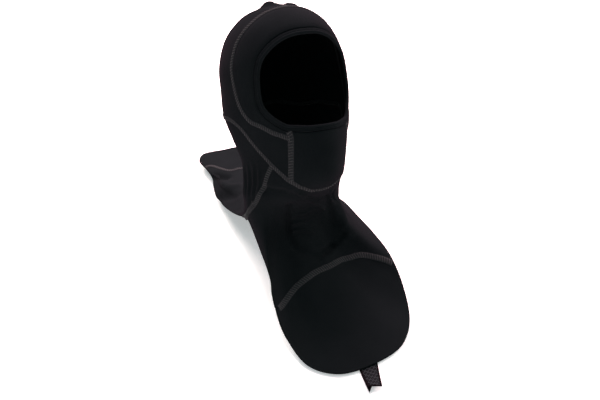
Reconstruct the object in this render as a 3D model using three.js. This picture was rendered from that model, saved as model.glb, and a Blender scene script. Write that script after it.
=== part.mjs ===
import * as THREE from 'three';

// A helmet liner of stretch fleece: a close hood with a face opening and a mouth panel,
// over a front and a back yoke that each end in a rounded bib. It keeps the form that it has
// when a head that leans back wears it, with the bibs spread below.
// Millimetres, +Z up. The origin is the inside of the crown, and the face looks along -Y.
//
// Every place on the cloth is a turn and a ring. The turn is in degrees about the neck, from 0
// at the front, positive towards the wearer's right. Rings 0 to 11 go down the hood from the
// crown, and from ring 11 to ring 12 the cloth runs out to the hem of the yokes and bibs.

// Driving dimensions
const WALL = 2.5;
const GAP = 0.3;
const HEAD_PITCH = 27;
const HEAD_LEAN = 2;
const HEAD_CENTRE = 6;
const SPREAD = -324.5;
const NECK_RING = 11;
const NECK_STEP = 0.5;
const HEM_RING = 12;
const SKIRT_SPAN = 10;
const SKIRT_OUT_FLATNESS = 0.35;
const NAPE = { turns: [95, 150], down: new THREE.Vector3(0, 0.25, -0.97) };
const HEM_WIDTH = 7;
const HEM_PROUD = 0.6;
const HEM_ROLL = 1.5;
const FACE_CENTRE = [0, 5.2];

// The tag's corners in plan and their heights over the spread, two under the hem and two free
const LABEL = {
  under: [[-16.5, -291.5, 0.3], [9, -291.5, 0.3]],
  free: [[-24.8, -327, 4.5], [-9.6, -332.6, 6.5]],
  thickness: 1.2,
  along: 8,
  across: 4,
};
const FOLD_PARTS = 16;

// The hood's rings, each with its height under the crown, its reach to the front and the back,
// half its width, how much narrower its front is, and its shift to the wearer's left
const HOOD_COLUMNS = ['height', 'front', 'back', 'half', 'taper', 'shift'];
const HOOD = [
  [2.5, 6, 6, 0, 0, 0],
  [-1.5, -22, 34, 24, 0, 0],
  [-10, -47, 57, 42, 0, 0.5],
  [-30, -73, 80, 61.5, 0, 1],
  [-60, -89, 94, 73, 0.02, 1],
  [-90, -93, 97, 75.5, 0.04, 1],
  [-120, -95, 94, 76, 0.08, 0],
  [-150, -102, 82, 70, 0.16, 0],
  [-178, -104, 68, 63, 0.24, -1],
  [-202, -97, 67, 62, 0.28, -3],
  [-218, -76, 72, 63, 0.24, -5],
  [-232, -48, 78, 63, 0.2, -5],
];

// The hem at ring 12: its place in plan, its height over the spread, and how much of the way
// down is made straight from the neck and how much of the way out lies flat
const HEM_COLUMNS = ['turn', 'x', 'y', 'rise', 'drop', 'flat'];
const HEM = [
  [-180, 0, 213, 15, 0.55, 0.62],
  [-172, 28, 212, 15, 0.55, 0.62],
  [-164, 48, 198, 15, 0.55, 0.62],
  [-156, 54, 176, 15, 0.55, 0.62],
  [-146, 54, 148, 15, 0.55, 0.6],
  [-134, 58, 112, 15, 0.5, 0.55],
  [-120, 66, 68, 16, 0.4, 0.45],
  [-108, 74, 30, 24, 0.32, 0.38],
  [-96, 84, -8, 38, 0.3, 0.35],
  [-84, 91, -50, 50, 0.3, 0.35],
  [-72, 93, -95, 50, 0.34, 0.38],
  [-60, 93, -140, 50, 0.45, 0.45],
  [-48, 90, -185, 48, 0.58, 0.52],
  [-36, 90, -220, 25, 0.68, 0.58],
  [-24, 77, -258, 7, 0.74, 0.62],
  [-12, 46, -289, 4.4, 0.75, 0.62],
  [0, 2, -300, 4.4, 0.75, 0.62],
  [12, -42, -297, 4.4, 0.75, 0.62],
  [24, -71, -272, 5, 0.74, 0.62],
  [36, -80, -236, 14, 0.68, 0.58],
  [48, -81, -204, 36, 0.58, 0.52],
  [60, -75, -168, 56, 0.45, 0.45],
  [72, -70, -128, 63, 0.34, 0.38],
  [84, -66, -90, 70, 0.3, 0.35],
  [96, -58, -50, 60, 0.3, 0.35],
  [108, -50, -8, 37, 0.32, 0.38],
  [120, -54, 32, 22, 0.4, 0.45],
  [130, -62, 62, 17, 0.48, 0.52],
  [140, -58, 94, 15, 0.55, 0.6],
  [150, -49, 134, 15, 0.55, 0.62],
  [158, -50, 165, 15, 0.55, 0.62],
  [166, -52, 190, 15, 0.55, 0.62],
  [173, -36, 212, 15, 0.55, 0.62],
  [180, 0, 213, 15, 0.55, 0.62],
];

// Seams on the wearer's right as turn and ring, mirrored for the left, and the front bib seam
// whole. The stops are the rows
// where another seam meets this one, and the parts are the steps between two stops. The mouth
// seam gets one more row, at its top, where it meets the face opening's hem.
const ARC_SEAM = {
  rows: [[0, 1.72], [28, 1.9], [52, 2.48], [62, 2.94], [70, 3.42], [74, 3.93], [75.5, 4.42], [74.5, 5.04],
    [72, 5.56], [68.5, 6.02], [64, 6.37], [57, 6.58], [48.5, 6.89], [37, 7.2]],
  stops: [0, 13],
  parts: [24],
};
const FACE_EDGE = {
  rows: [[0, 3.46], [12, 3.48], [24, 3.6], [36, 3.88], [43, 4.18], [47, 4.54], [49, 4.94], [49.5, 5.38],
    [48.5, 5.84], [45, 6.18], [40, 6.45], [33.5, 6.64], [22, 6.72], [12, 6.76], [0, 6.77]],
  stops: [0, 11, 14],
  parts: [24, 4],
};
const MOUTH_SEAM = {
  rows: [[37, 7.2], [42, 7.9], [44, 8.6], [43, 9.1]],
  stops: [0, 1, 4],
  parts: [1, 6],
};
const CHIN_SEAM = {
  rows: [[0, 10.03], [14, 9.95], [29.5, 9.56], [43, 9.1], [52, 8.68], [60.5, 8.22], [67.5, 7.68],
    [72.5, 7.14], [77.5, 6.58], [85, 6.24], [107, 6.04], [140, 5.95], [180, 5.9]],
  stops: [0, 3, 5, 12],
  parts: [4, 2, 22],
};
const BACK_SEAM = {
  rows: [[180, 5.9], [180, 4], [180, 2], [180, 0], [0, 1.72]],
  stops: [0, 4],
  parts: [18],
};
const SHOULDER_SEAM = {
  rows: [[60.5, 8.22], [66.5, 8.75], [69.5, 9.5], [73, 10.4], [83, 11.08], [96, 11.35], [102, 11.6],
    [103, 12]],
  stops: [0, 7],
  parts: [13],
};
const FRONT_BIB_SEAM = {
  rows: [[-43.8, 12], [-43, 11.88], [-37, 11.69], [-26, 11.58], [-8, 11.54], [8, 11.555], [23, 11.63],
    [36, 11.77], [44, 11.91], [48.5, 12]],
  stops: [0, 9],
  parts: [16],
};
const BACK_BIB_SEAM = {
  rows: [[158, 12], [167.5, 11.92], [171, 11.885], [173.5, 11.835], [176, 11.795], [180, 11.8]],
  stops: [0, 5],
  parts: [6],
};

// Turns where a seam meets the hem or a bib's side begins. The front bib seam sits askew, so its
// two ends have their own.
const HEM_STOPS = {
  right: [0, 20, 48.5, 103, 158, 171, 180],
  left: [0, 20, 43.8, 103, 158, 171, 180],
  parts: [8, 8, 10, 16, 5, 6],
};

// Folds as ridges, or valleys where the height is negative, along a line of turns and rings
const FOLDS = [
  { name: 'crown pinch', line: [[27, 0.8], [37, 0.85]], width: 7, height: 6 },
  { name: 'crown seam joint', line: [[-19, 1.15], [-25, 1.4]], width: 5, height: 3 },
  { name: 'crease under the chin', line: [[68, 9.7], [50, 9.9], [22, 10.4], [-16, 11.02], [-61, 11.2]],
    width: 5, height: -2.5 },
  { name: 'upper throat crease', line: [[10, 11.12], [-15, 11.17], [-37, 11.26]], width: 5, height: -2 },
  { name: 'lower throat crease', line: [[8, 11.25], [-10, 11.3], [-25, 11.35]], width: 5, height: -2 },
  { name: 'hollow round the throat', line: [[37, 10.6], [25, 11.12], [19, 11.36], [3, 11.45], [-25, 11.46],
    [-40, 11.46], [-57, 11.44]], width: 9, height: -4 },
  { name: 'left shoulder pleat', line: [[-60, 10.4], [-78, 11.3], [-82, 11.75]], width: 7, height: 3 },
  { name: 'back bib dip', line: [[161, 11.86], [173, 11.79], [-178, 11.78]], width: 11, height: -4 },
  { name: 'back yoke ridge', line: [[150, 11.86], [167, 11.7], [-178, 11.66]], width: 11, height: 3 },
  { name: 'back yoke crease', line: [[141, 11.95], [150, 11.76], [168, 11.6]], width: 12, height: -4 },
];

// Gathers at the nape: pleats that run down the cloth behind the shoulder seams
const GATHERS = { pitch: 13, height: 0.8, turns: [72, 100], rings: [6.4, 8.4, 10.4, 11.3] };

const FLEECE = { color: 0x1c1e1f, roughness: 0.95, metalness: 0 };
const BINDING = { color: 0x141516, roughness: 0.9, metalness: 0 };
const WOVEN = { color: 0x26262a, roughness: 0.7, metalness: 0 };

const radians = THREE.MathUtils.degToRad;
const smoothstep = THREE.MathUtils.smoothstep;
const lerp = THREE.MathUtils.lerp;
const HEAD_TURN = new THREE.Euler(radians(-HEAD_PITCH), radians(HEAD_LEAN), 0, 'ZYX');

// A table's row at a fractional index, on a smooth curve through its rows
function rowAt(table, columns, index) {
  const last = table.length - 1;
  const i = Math.min(Math.max(Math.floor(index), 0), last - 1);
  const t = index - i;
  const [p, q, r, s] = [-1, 0, 1, 2].map((k) => table[Math.min(Math.max(i + k, 0), last)]);
  const value = (k) => 0.5 * (2 * q[k] + (r[k] - p[k]) * t
    + (2 * p[k] - 5 * q[k] + 4 * r[k] - s[k]) * t ** 2
    + (3 * q[k] - p[k] - 3 * r[k] + s[k]) * t ** 3);
  return Object.fromEntries(columns.map((name, k) => [name, value(k)]));
}

function hoodPoint(turn, ring) {
  const row = rowAt(HOOD, HOOD_COLUMNS, ring);
  const c = Math.cos(radians(turn));
  const s = Math.sin(radians(turn));
  const x = row.shift - row.half * s * (1 - row.taper * Math.max(c, 0));
  const y = HEAD_CENTRE + (c > 0 ? row.front - HEAD_CENTRE : HEAD_CENTRE - row.back) * c;
  return new THREE.Vector3(x, y, row.height).applyEuler(HEAD_TURN);
}

function hemRow(turn) {
  let i = 0;
  while (i < HEM.length - 2 && HEM[i + 1][0] < turn) i += 1;
  return rowAt(HEM, HEM_COLUMNS, i + (turn - HEM[i][0]) / (HEM[i + 1][0] - HEM[i][0]));
}

// Below the neck the cloth follows one cubic curve for each turn, down from the neck and out to
// the hem
function skirtPoint(turn, t) {
  const neck = hoodPoint(turn, NECK_RING);
  const down = neck.clone().sub(hoodPoint(turn, NECK_RING - NECK_STEP)).normalize();
  down.lerp(NAPE.down, smoothstep(Math.abs(turn), ...NAPE.turns));
  const row = hemRow(turn);
  const hem = new THREE.Vector3(row.x, row.y, SPREAD + row.rise);
  const out = hem.clone().sub(neck);
  const drop = Math.abs(out.z);
  out.z *= SKIRT_OUT_FLATNESS;
  const below = neck.clone().addScaledVector(down, drop * row.drop);
  const inside = hem.clone().addScaledVector(out, -row.flat);
  return new THREE.CubicBezierCurve3(neck, below, inside, hem).getPoint(t);
}

// The flat chart: turn and ring as a place in a plane, so that curves and grids may cross the
// crown
function toFlat([turn, ring]) {
  const radius = ring <= NECK_RING ? ring : NECK_RING + (ring - NECK_RING) * SKIRT_SPAN;
  return new THREE.Vector2(Math.sin(radians(turn)), Math.cos(radians(turn))).multiplyScalar(radius);
}

function fromFlat(flat) {
  const radius = flat.length();
  const ring = radius <= NECK_RING ? radius : NECK_RING + (radius - NECK_RING) / SKIRT_SPAN;
  return [THREE.MathUtils.radToDeg(Math.atan2(flat.x, flat.y)), ring];
}

function clothPoint(flat) {
  const [turn, ring] = fromFlat(flat);
  return ring <= NECK_RING ? hoodPoint(turn, ring) : skirtPoint(turn, ring - NECK_RING);
}

function clothNormal(flat) {
  const step = 0.02;
  const across = clothPoint(new THREE.Vector2(flat.x + step, flat.y))
    .sub(clothPoint(new THREE.Vector2(flat.x - step, flat.y)));
  const along = clothPoint(new THREE.Vector2(flat.x, flat.y + step))
    .sub(clothPoint(new THREE.Vector2(flat.x, flat.y - step)));
  return across.cross(along).normalize();
}

function curveThrough(rows) {
  return new THREE.SplineCurve(rows.map(toFlat));
}

const foldLines = FOLDS.map((fold) => {
  const points = curveThrough(fold.line).getPoints(FOLD_PARTS).map(clothPoint);
  return { ...fold, segments: points.slice(1).map((p, i) => new THREE.Line3(points[i], p)) };
});

// How far the folds and gathers lift the cloth off its smooth form
function relief(flat, point) {
  const nearest = new THREE.Vector3();
  let lift = 0;
  for (const fold of foldLines) {
    const away = fold.segments.map((s) => s.closestPointToPoint(point, true, nearest).distanceTo(point));
    lift += fold.height * Math.exp(-((Math.min(...away) / fold.width) ** 2));
  }
  const [turn, ring] = fromFlat(flat);
  const side = Math.abs(turn);
  const mask = smoothstep(side, ...GATHERS.turns) * smoothstep(ring, ...GATHERS.rings.slice(0, 2))
    * (1 - smoothstep(ring, ...GATHERS.rings.slice(2)));
  return lift + GATHERS.height * mask * Math.cos((2 * Math.PI * side) / GATHERS.pitch);
}

// A vertex of the cloth: its flat place, its outer and its inner point
function vertex(flat) {
  const smooth = clothPoint(flat);
  const normal = clothNormal(flat);
  const outer = smooth.clone().addScaledVector(normal, relief(flat, smooth));
  return { flat, outer, inner: outer.clone().addScaledVector(normal, -WALL), normal };
}

// Flat places along a line on the cloth, at even steps of real length. The line is a function
// from 0 to 1.
function evenSteps(line, count) {
  const fine = 400;
  const points = Array.from({ length: fine + 1 }, (_, i) => clothPoint(line(i / fine)));
  const reach = [0];
  for (let i = 1; i <= fine; i += 1) reach.push(reach[i - 1] + points[i].distanceTo(points[i - 1]));
  return Array.from({ length: count + 1 }, (_, j) => {
    if (j === count) return line(1);
    const want = (reach[fine] * j) / count;
    const i = Math.max(reach.findIndex((r) => r > want), 1);
    return line((i - 1 + (want - reach[i - 1]) / (reach[i] - reach[i - 1])) / fine);
  });
}

// A seam's flat places, one list for each stretch between two stops
function sampleSeam({ rows, stops, parts }) {
  const curve = curveThrough(rows);
  const last = rows.length - 1;
  return parts.map((count, k) => (
    evenSteps((t) => curve.getPoint(lerp(stops[k], stops[k + 1], t) / last), count)
  ));
}

function sampleHem(turns) {
  return HEM_STOPS.parts.map((count, k) => (
    evenSteps((t) => toFlat([lerp(turns[k], turns[k + 1], t), HEM_RING]), count)
  ));
}

const mirrored = (places) => places.map((flat) => new THREE.Vector2(-flat.x, flat.y));
const reversed = (list) => [...list].reverse();
// The left half in reverse and then the right half, for a seam that crosses the middle
const across = (places) => [...reversed(mirrored(places)), ...places.slice(1)];
// The same for a seam that ends in the middle, at the back
const around = (places) => [...places, ...reversed(mirrored(places)).slice(1)];
const joined = (...runs) => runs.flatMap((run, k) => (k ? run.slice(1) : run));

// The flat place a hem's width outside the face opening's edge
function outsideFace(flat, i, edge) {
  const before = edge[Math.max(i - 1, 0)];
  const after = edge[Math.min(i + 1, edge.length - 1)];
  const along = after.clone().sub(before).normalize();
  const out = new THREE.Vector2(along.y, -along.x);
  if (out.dot(flat.clone().sub(toFlat(FACE_CENTRE))) < 0) out.negate();
  const probe = 0.1;
  const stretch = clothPoint(flat).distanceTo(clothPoint(flat.clone().addScaledVector(out, probe)));
  return flat.clone().addScaledVector(out, (HEM_WIDTH * probe) / stretch);
}

const [faceEdgeUpper, faceEdgeLower] = sampleSeam(FACE_EDGE);
const faceEdge = joined(faceEdgeUpper, faceEdgeLower);
const faceLine = faceEdge.map(outsideFace);
const faceLineUpper = faceLine.slice(0, faceEdgeUpper.length);
const faceLineLower = faceLine.slice(faceEdgeUpper.length - 1);
const mouthRows = [fromFlat(faceLineLower[0]), ...MOUTH_SEAM.rows];

const [arc] = sampleSeam(ARC_SEAM);
const [mouthUpper, mouthLower] = sampleSeam({ ...MOUTH_SEAM, rows: mouthRows });
const [chinFront, chinSide, chinBack] = sampleSeam(CHIN_SEAM);
const [backSeam] = sampleSeam(BACK_SEAM);
const [shoulder] = sampleSeam(SHOULDER_SEAM);
const [frontBibSeam] = sampleSeam(FRONT_BIB_SEAM);
const [backBibSeam] = sampleSeam(BACK_BIB_SEAM);
const [hemFrontTip, hemBibRight, hemYokeRight, ...hemBehind] = sampleHem(HEM_STOPS.right);
const [, hemBibLeft, hemYokeLeft] = sampleHem(HEM_STOPS.left).map(mirrored);
const [hemYokeBack, hemBackSide, hemBackTip] = hemBehind;

function between(a, b, share) {
  const mix = (key) => a[key].clone().lerp(b[key], share);
  return { flat: mix('flat'), outer: mix('outer'), inner: mix('inner'), normal: mix('normal').normalize() };
}

// One stretch of a panel's side. Its own vertices are shared with the panel across the seam, and
// a finer panel adds the rest on the straight chords between them, so that both sides agree.
function stretch(places, { finer = 1, sewn = true } = {}) {
  const masters = places.map(vertex);
  const vertices = masters.slice(1).flatMap((next, i) => (
    Array.from({ length: finer }, (_, k) => between(masters[i], next, k / finer))
  ));
  return { vertices: [...vertices, masters[masters.length - 1]], sewn };
}

// A sewn side steps back from the seam by half the gap, along the cloth and square to the seam
function stepBack(runs, at) {
  let first = 0;
  for (const { vertices, sewn } of runs) {
    const last = first + vertices.length - 1;
    for (let k = first; sewn && k <= last; k += 1) {
      const [edge, inside] = at(k);
      const [[before], [after]] = [at(Math.max(k - 1, first)), at(Math.min(k + 1, last))];
      const along = after.outer.clone().sub(before.outer).normalize();
      const back = inside.outer.clone().sub(edge.outer);
      back.addScaledVector(along, -back.dot(along));
      back.addScaledVector(edge.normal, -back.dot(edge.normal)).setLength(GAP / 2);
      edge.push = (edge.push ?? new THREE.Vector3()).add(back);
    }
    first = last;
  }
}

// A panel between four sides: the top and bottom run from left to right, the left and right from
// top to bottom
function panelGrid({ top, bottom, left, right }) {
  const [t, b, l, r] = [top, bottom, left, right].map((runs) => joined(...runs.map((run) => run.vertices)));
  const columns = t.length - 1;
  const rows = l.length - 1;
  const grid = l.map((_, j) => t.map((__, i) => {
    if (j === 0) return { ...t[i] };
    if (j === rows) return { ...b[i] };
    if (i === 0) return { ...l[j] };
    if (i === columns) return { ...r[j] };
    const u = i / columns;
    const v = j / rows;
    const flat = new THREE.Vector2()
      .addScaledVector(t[i].flat, 1 - v).addScaledVector(b[i].flat, v)
      .addScaledVector(l[j].flat, 1 - u).addScaledVector(r[j].flat, u)
      .addScaledVector(t[0].flat, -(1 - u) * (1 - v)).addScaledVector(t[columns].flat, -u * (1 - v))
      .addScaledVector(b[0].flat, -(1 - u) * v).addScaledVector(b[columns].flat, -u * v);
    return vertex(flat);
  }));
  stepBack(top, (i) => [grid[0][i], grid[1][i]]);
  stepBack(bottom, (i) => [grid[rows][i], grid[rows - 1][i]]);
  stepBack(left, (j) => [grid[j][0], grid[j][1]]);
  stepBack(right, (j) => [grid[j][columns], grid[j][columns - 1]]);
  for (const { push, outer, inner } of grid.flat()) {
    if (push) [outer, inner].forEach((p) => p.add(push));
  }
  return grid;
}

// One closed body from its points and its four-sided faces, with the faces pointing out
function bodyOf(points, quads) {
  const apart = (a, b) => points[a].distanceToSquared(points[b]);
  const index = quads.flatMap(([a, b, c, d]) => (
    apart(a, c) <= apart(b, d) ? [a, b, c, a, c, d] : [a, b, d, b, c, d]
  ));
  let volume = 0;
  for (let i = 0; i < index.length; i += 3) {
    const [p, q, r] = [0, 1, 2].map((k) => points[index[i + k]]);
    volume += p.dot(q.clone().cross(r)) / 6;
  }
  if (volume < 0) index.reverse();
  const geometry = new THREE.BufferGeometry().setFromPoints(points);
  geometry.setIndex(index);
  geometry.computeVertexNormals();
  return geometry;
}

// A wall of cloth: the grid's outer and inner faces and the four edges between them
function wallOf(grid) {
  const columns = grid[0].length;
  const right = columns - 1;
  const bottom = grid.length - 1;
  const flatGrid = grid.flat();
  const points = [...flatGrid.map((v) => v.outer.clone()), ...flatGrid.map((v) => v.inner.clone())];
  const outer = (j, i) => j * columns + i;
  const inner = (j, i) => flatGrid.length + outer(j, i);
  const quads = [];
  for (let j = 0; j < bottom; j += 1) {
    for (let i = 0; i < right; i += 1) {
      quads.push([outer(j, i), outer(j, i + 1), outer(j + 1, i + 1), outer(j + 1, i)]);
      quads.push([inner(j, i), inner(j + 1, i), inner(j + 1, i + 1), inner(j, i + 1)]);
    }
  }
  for (let i = 0; i < right; i += 1) {
    quads.push([outer(0, i + 1), outer(0, i), inner(0, i), inner(0, i + 1)]);
    quads.push([outer(bottom, i), outer(bottom, i + 1), inner(bottom, i + 1), inner(bottom, i)]);
  }
  for (let j = 0; j < bottom; j += 1) {
    quads.push([outer(j, 0), outer(j + 1, 0), inner(j + 1, 0), inner(j, 0)]);
    quads.push([outer(j + 1, right), outer(j, right), inner(j, right), inner(j + 1, right)]);
  }
  return bodyOf(points, quads);
}

// The turned hem round the face: a flat band with a rolled edge, swept round the opening
function openingHem() {
  const line = across(faceLine).slice(1).map(vertex);
  const edge = across(faceEdge).slice(1).map(vertex);
  const start = GAP / 2;
  const roll = HEM_WIDTH - HEM_ROLL;
  const section = [
    [start, 0], [start + HEM_ROLL, HEM_PROUD], [roll, HEM_PROUD], [HEM_WIDTH, -HEM_PROUD],
    [HEM_WIDTH, HEM_PROUD - WALL], [roll, -WALL - HEM_PROUD], [start + HEM_ROLL, -WALL - HEM_PROUD],
    [start, -WALL],
  ];
  const points = line.flatMap(({ outer, normal }, k) => {
    const inward = edge[k].outer.clone().sub(outer);
    inward.addScaledVector(normal, -inward.dot(normal)).normalize();
    return section.map(([reach, lift]) => (
      outer.clone().addScaledVector(inward, reach).addScaledVector(normal, lift)
    ));
  });
  const quads = line.flatMap((_, k) => section.map((__, m) => {
    const next = (k + 1) % line.length;
    const side = (m + 1) % section.length;
    return [[k, m], [k, side], [next, side], [next, m]].map(([a, b]) => a * section.length + b);
  }));
  return bodyOf(points, quads);
}

// The folded tag sewn under the front hem, rising more and more towards its free end
function hemLabel() {
  const mix = (from, to, share) => from.map((value, k) => lerp(value, to[k], share));
  const grid = Array.from({ length: LABEL.along + 1 }, (_, j) => (
    Array.from({ length: LABEL.across + 1 }, (__, i) => {
      const [start, end] = [LABEL.under, LABEL.free].map((row) => mix(...row, i / LABEL.across));
      const down = j / LABEL.along;
      const [x, y] = mix(start, end, down);
      const z = SPREAD + lerp(start[2], end[2], down ** 2);
      const inner = new THREE.Vector3(x, y, z);
      return { inner, outer: inner.clone().setZ(z + LABEL.thickness) };
    })
  ));
  return wallOf(grid);
}

const liner = new THREE.Group();

function addPiece(name, geometry, finish) {
  const mesh = new THREE.Mesh(geometry, new THREE.MeshStandardMaterial(finish));
  mesh.name = name;
  liner.add(mesh);
}

const free = { sewn: false };

addPiece('face_surround', wallOf(panelGrid({
  top: [stretch(across(arc))],
  bottom: [stretch(across(faceLineUpper))],
  left: [stretch(mirrored(reversed(mouthUpper)), { finer: 5 })],
  right: [stretch(reversed(mouthUpper), { finer: 5 })],
})), FLEECE);

const SIDES = [['right', (places) => places], ['left', mirrored]];
for (const [side, placed] of SIDES) {
  addPiece(`side_panel_${side}`, wallOf(panelGrid({
    top: [stretch(placed(arc))],
    bottom: [stretch(placed(reversed(joined(chinSide, chinBack))))],
    left: [stretch(placed(reversed(backSeam)))],
    right: [stretch(placed(mouthLower), { finer: 3 })],
  })), FLEECE);
}

addPiece('mouth_panel', wallOf(panelGrid({
  top: [stretch(across(reversed(faceLineLower)))],
  bottom: [stretch(across(chinFront))],
  left: [stretch(mirrored(joined(mouthUpper, mouthLower)))],
  right: [stretch(joined(mouthUpper, mouthLower))],
})), FLEECE);

addPiece('front_yoke', wallOf(panelGrid({
  top: [stretch(across(joined(chinFront, chinSide)), { finer: 3 })],
  bottom: [
    stretch(reversed(hemYokeLeft), free),
    stretch(frontBibSeam),
    stretch(hemYokeRight, free),
  ],
  left: [stretch(mirrored(shoulder))],
  right: [stretch(shoulder)],
})), FLEECE);

addPiece('back_yoke', wallOf(panelGrid({
  top: [stretch(around(chinBack))],
  bottom: [
    stretch(hemYokeBack, free),
    stretch(around(backBibSeam)),
    stretch(mirrored(reversed(hemYokeBack)), free),
  ],
  left: [stretch(shoulder)],
  right: [stretch(mirrored(shoulder))],
})), FLEECE);

addPiece('front_bib', wallOf(panelGrid({
  top: [stretch(frontBibSeam)],
  bottom: [stretch(across(hemFrontTip), free)],
  left: [stretch(reversed(hemBibLeft), free)],
  right: [stretch(reversed(hemBibRight), free)],
})), FLEECE);

addPiece('back_bib', wallOf(panelGrid({
  top: [stretch(around(backBibSeam))],
  bottom: [stretch(around(hemBackTip), free)],
  left: [stretch(hemBackSide, free)],
  right: [stretch(mirrored(hemBackSide), free)],
})), FLEECE);

addPiece('opening_hem', openingHem(), BINDING);
addPiece('hem_label', hemLabel(), WOVEN);

export default liner;
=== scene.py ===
# %% [markdown]
# # A helmet liner in stretch fleece
# The liner is a close hood with a face opening and a mouth panel, over a front and a back yoke
# that each end in a rounded bib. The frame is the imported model: plain walls of cloth in their
# right places. Every wall is replaced here by a finer one, and the flat seams, the stitches and
# the nap of the fleece are added to it.

# %% Load the frame
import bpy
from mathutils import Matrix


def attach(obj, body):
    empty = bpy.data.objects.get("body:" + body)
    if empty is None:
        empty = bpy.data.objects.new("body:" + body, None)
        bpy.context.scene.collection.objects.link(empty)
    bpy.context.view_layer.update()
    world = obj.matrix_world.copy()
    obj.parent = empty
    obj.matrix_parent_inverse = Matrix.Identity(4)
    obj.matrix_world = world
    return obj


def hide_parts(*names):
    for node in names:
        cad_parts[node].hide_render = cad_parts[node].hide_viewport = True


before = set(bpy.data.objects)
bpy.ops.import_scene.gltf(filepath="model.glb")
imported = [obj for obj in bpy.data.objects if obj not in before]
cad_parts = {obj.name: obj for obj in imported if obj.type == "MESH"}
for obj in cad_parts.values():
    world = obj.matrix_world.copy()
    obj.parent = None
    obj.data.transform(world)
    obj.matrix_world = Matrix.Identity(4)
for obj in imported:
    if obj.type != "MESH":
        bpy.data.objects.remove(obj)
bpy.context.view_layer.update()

import math
import bpy
import numpy as np
from mathutils import Matrix, Vector

BODY = "root"
MM = 0.001

# %% [markdown]
# ## The camera
# The camera looks down on the face opening from the wearer's right, a little under a metre away.
# It is placed by how far it is turned and raised about the middle of the view. One turn about its
# own axis then gives the slight roll of a camera held by hand.

# %% Camera
VIEW_TURN = math.radians(-26.83)
VIEW_RISE = math.radians(34.45)
VIEW_ROLL = math.radians(2.4)
VIEW_DISTANCE = 0.8877
VIEW_CENTRE = Vector((0.0386, -0.0179, -0.2817))
SENSOR = 36
LENS = 36

toward_camera = Vector((
    math.sin(VIEW_TURN) * math.cos(VIEW_RISE),
    -math.cos(VIEW_TURN) * math.cos(VIEW_RISE),
    math.sin(VIEW_RISE),
))
camera_data = bpy.data.cameras.new("camera")
camera_data.sensor_width = SENSOR
camera_data.lens = LENS
camera = bpy.data.objects.new("camera", camera_data)
bpy.context.collection.objects.link(camera)
aim = toward_camera.to_track_quat("Z", "Y").to_matrix().to_4x4()
camera.matrix_world = (
    Matrix.Translation(VIEW_CENTRE + toward_camera * VIEW_DISTANCE)
    @ aim
    @ Matrix.Rotation(VIEW_ROLL, 4, "Z")
)
bpy.context.scene.camera = camera
print("camera at", [round(x, 3) for x in camera.matrix_world.translation])

# %% [markdown]
# ## The form of the cloth
# A liner has no stiff part, so its form is one smooth surface, and the panels are cut out of it.
# It could be sculpted, or draped by a simulation. Tables of sections give the same form each
# time, in the places that the frame has, so the surface is worked out from the pattern's own
# numbers. A place on it is a turn about the neck, in degrees from the front and positive to the
# wearer's right, and a ring: 0 at the crown, 11 at the neck, 12 at the hem.

# %% Sections of the hood and the line of the hem, in millimetres
WALL = 2.5
HEAD_PITCH = 27  # degrees that the hood is turned down to the front
HEAD_LEAN = 2  # degrees that it leans to one side
HEAD_CENTRE = 6
SPREAD = -324.5  # height of the surface that the bibs lie on
NECK_RING = 11
NECK_STEP = 0.5  # rings above the neck from which its run downward is measured
HEM_RING = 12
SKIRT_SPAN = 10  # how wide the part below the neck is in the chart, in rings
SKIRT_OUT_FLATNESS = 0.35  # share of the fall that is left where the skirt runs out to the hem
NAPE_TURNS = (95, 150)  # where the nape's own way down begins, and where it is full
NAPE_DOWN = np.array([0, 0.25, -0.97])

# Height under the crown, reach to the front and back, half width, taper and shift to the left
HOOD = np.array([
    [2.5, 6, 6, 0, 0, 0],
    [-1.5, -22, 34, 24, 0, 0],
    [-10, -47, 57, 42, 0, 0.5],
    [-30, -73, 80, 61.5, 0, 1],
    [-60, -89, 94, 73, 0.02, 1],
    [-90, -93, 97, 75.5, 0.04, 1],
    [-120, -95, 94, 76, 0.08, 0],
    [-150, -102, 82, 70, 0.16, 0],
    [-178, -104, 68, 63, 0.24, -1],
    [-202, -97, 67, 62, 0.28, -3],
    [-218, -76, 72, 63, 0.24, -5],
    [-232, -48, 78, 63, 0.2, -5],
])

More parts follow.
